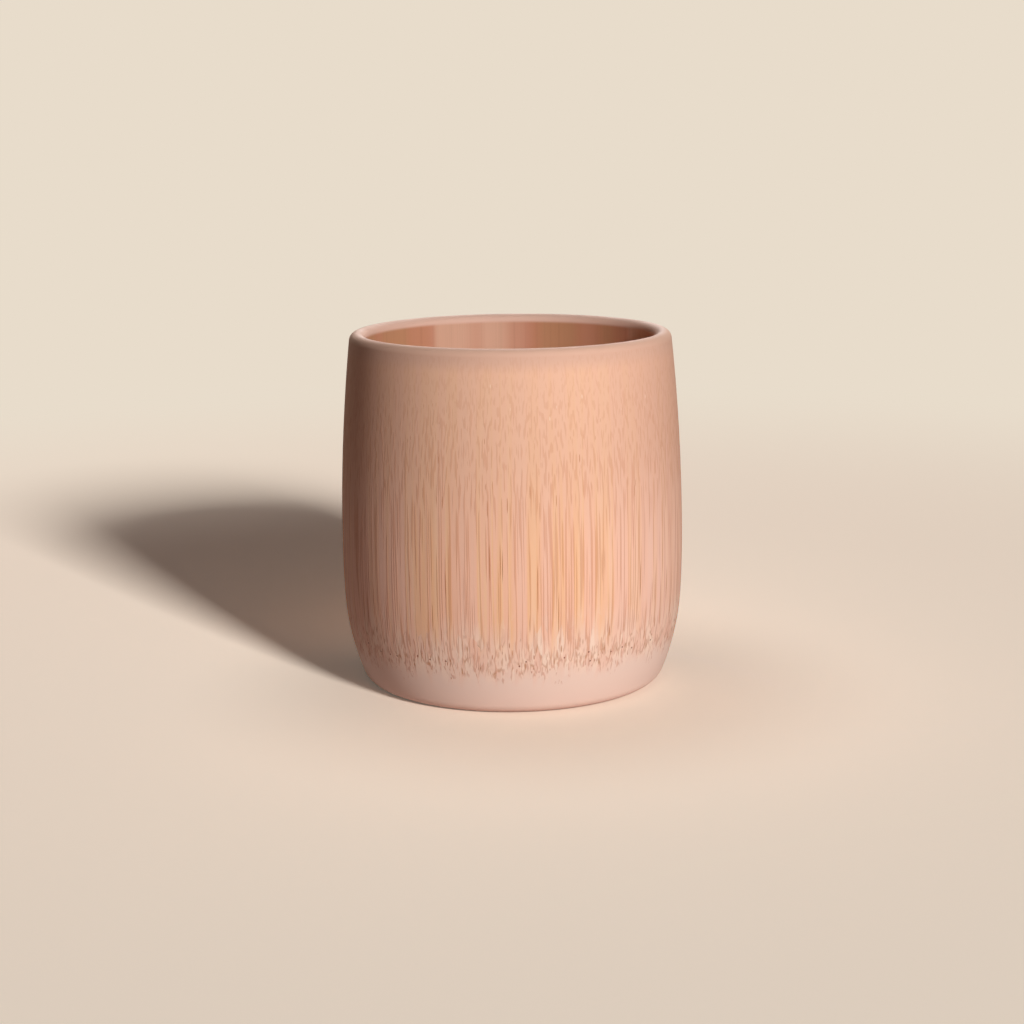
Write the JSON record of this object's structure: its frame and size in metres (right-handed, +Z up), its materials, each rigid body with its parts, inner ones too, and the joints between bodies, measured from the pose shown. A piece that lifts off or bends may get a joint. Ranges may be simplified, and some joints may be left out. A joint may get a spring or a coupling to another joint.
{
  "type": "turned bamboo cup",
  "caption": "Barrel-shaped cup turned from one culm section, with a rounded lip, a straight bore, a node plate as its floor and a lacquered inside.",
  "frame": {"origin": "centre of the circle that the cup stands on, at the foot's underside", "axes": "+Z up along the cup's axis of revolution; -Y is the side that faces the picture's camera"},
  "size_m": [0.082, 0.082, 0.084],
  "materials": {
    "culm_wall": "natural bamboo, turned and sanded, matt",
    "node_plate": "natural bamboo node, sanded, matt",
    "inner_lacquer": "clear amber food-safe lacquer over bamboo, satin"
  },
  "bodies": {
    "root": {"culm_wall": "culm_wall", "node_plate": "node_plate", "inner_lacquer": "inner_lacquer"}
  },
  "joints": []
}
